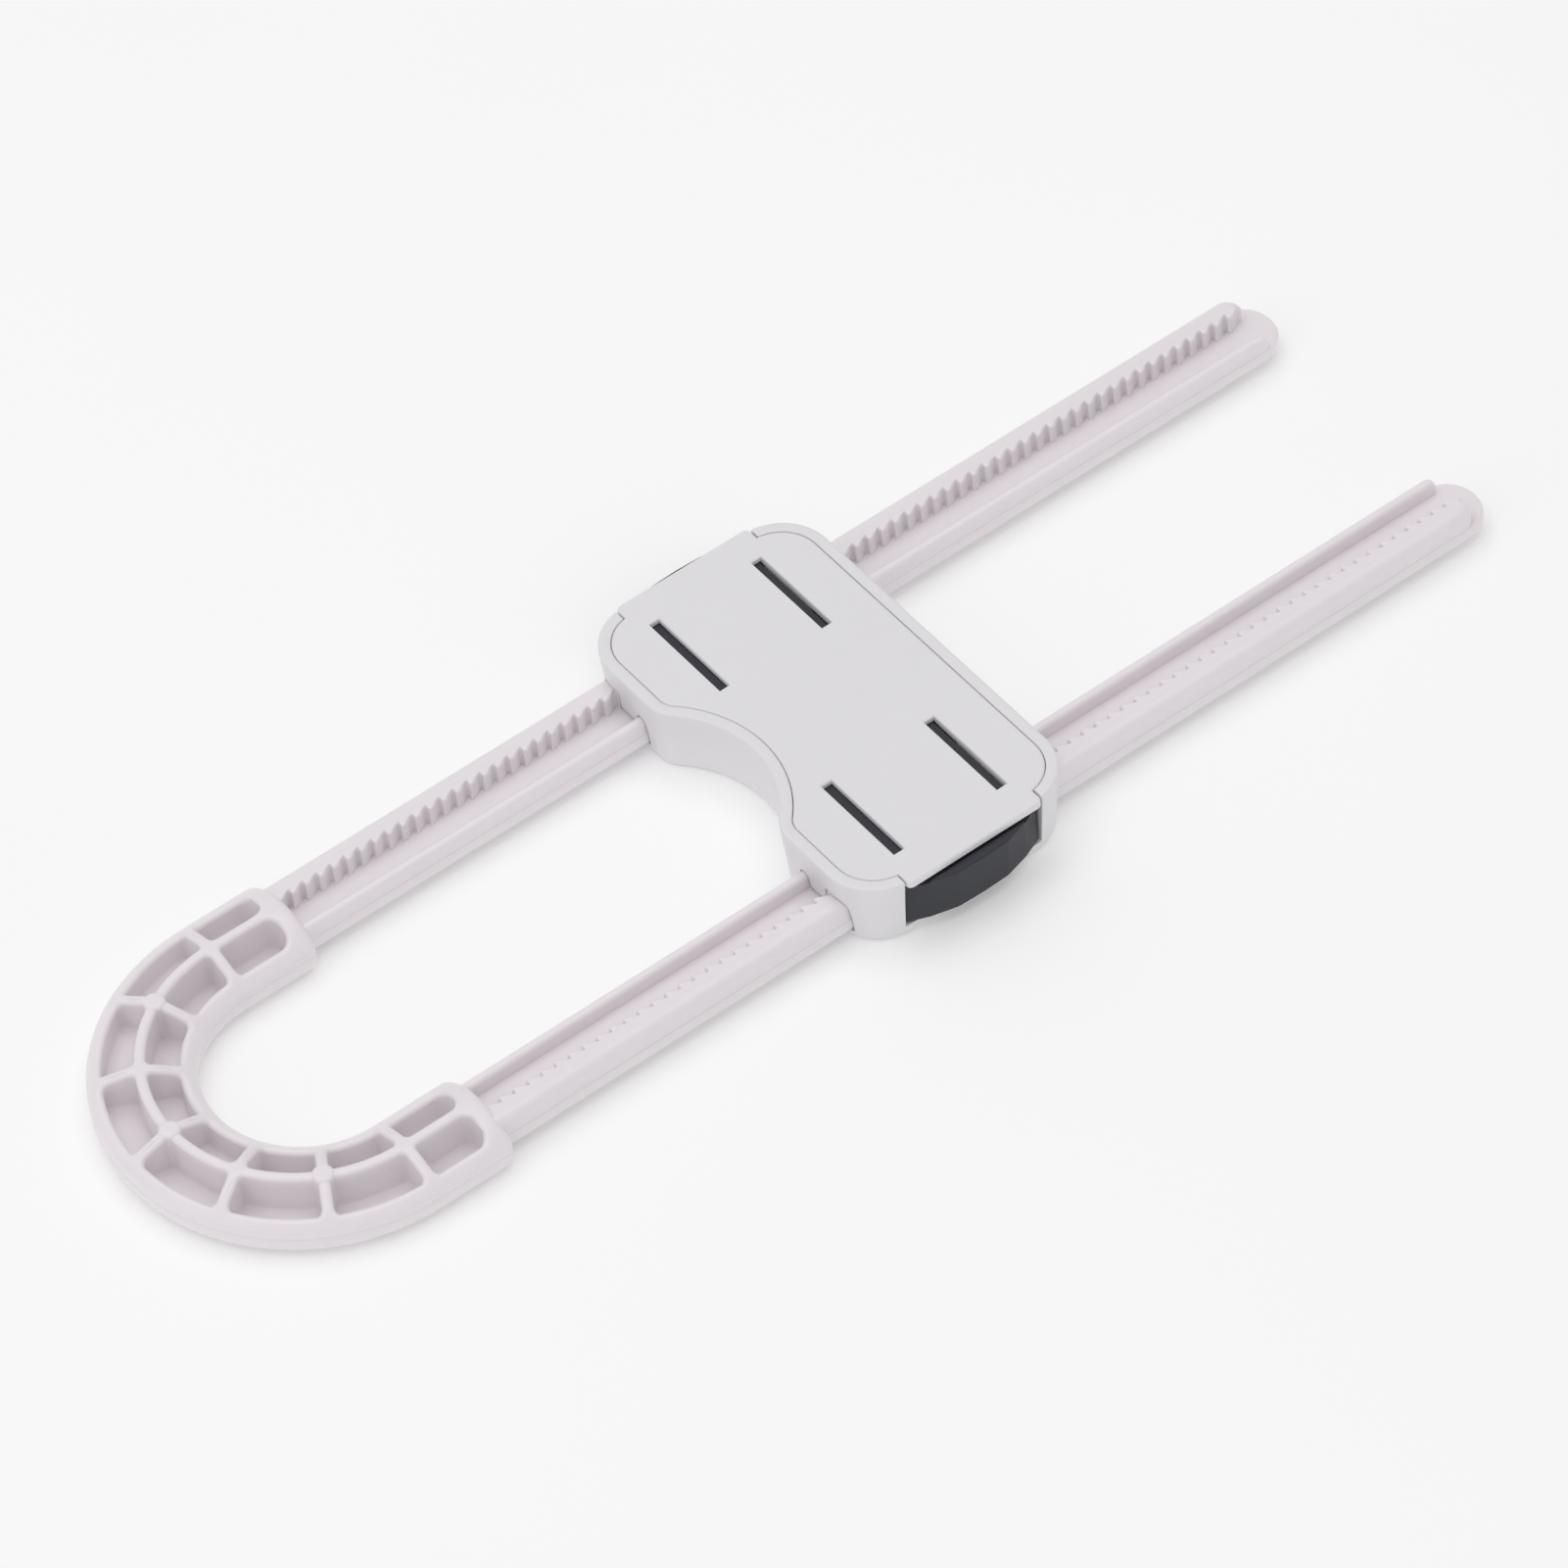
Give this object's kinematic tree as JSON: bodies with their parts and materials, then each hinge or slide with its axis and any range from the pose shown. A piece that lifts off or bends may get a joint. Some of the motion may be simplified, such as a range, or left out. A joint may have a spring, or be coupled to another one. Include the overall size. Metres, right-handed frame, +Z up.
{
  "type": "cabinet safety lock",
  "caption": "Cabinet safety lock: a ribbed U-shaped bow with toothed legs slides through a block that sprung side buttons lock in place around neighbouring handles.",
  "frame": {"origin": "middle of the bounding box, on the surface that the lock lies on, with its back cover up", "axes": "+X along the legs from the bend to the tips, +Y from the right leg to the left leg, +Z up out of the back cover"},
  "size_m": [0.205, 0.066, 0.0113],
  "materials": {
    "white_plastic": "soft satin moulding",
    "grey_plastic": "fine matte moulding",
    "spring_steel": "drawn wire"
  },
  "bodies": {
    "bow": {"bow": "white_plastic"},
    "block": {"block_case": "white_plastic", "back_cover": "white_plastic", "left_spring": "spring_steel", "right_spring": "spring_steel"},
    "left button": {"left_button": "grey_plastic"},
    "right button": {"right_button": "grey_plastic"}
  },
  "joints": [
    {"name": "block_slide", "type": "slide", "parent": "bow", "child": "block", "axis": [1, 0, 0], "range_m": [-0.0528, 0.1188]},
    {"name": "left_button_press", "type": "slide", "parent": "block", "child": "left button", "axis": [0, -1, 0], "range_m": [0, 0.0015], "stiffness_N_per_m": 600, "springref_m": -0.0015, "deforming": ["left_spring"]},
    {"name": "right_button_press", "type": "slide", "parent": "block", "child": "right button", "axis": [0, 1, 0], "range_m": [0, 0.0015], "stiffness_N_per_m": 600, "springref_m": -0.0015, "deforming": ["right_spring"]}
  ]
}
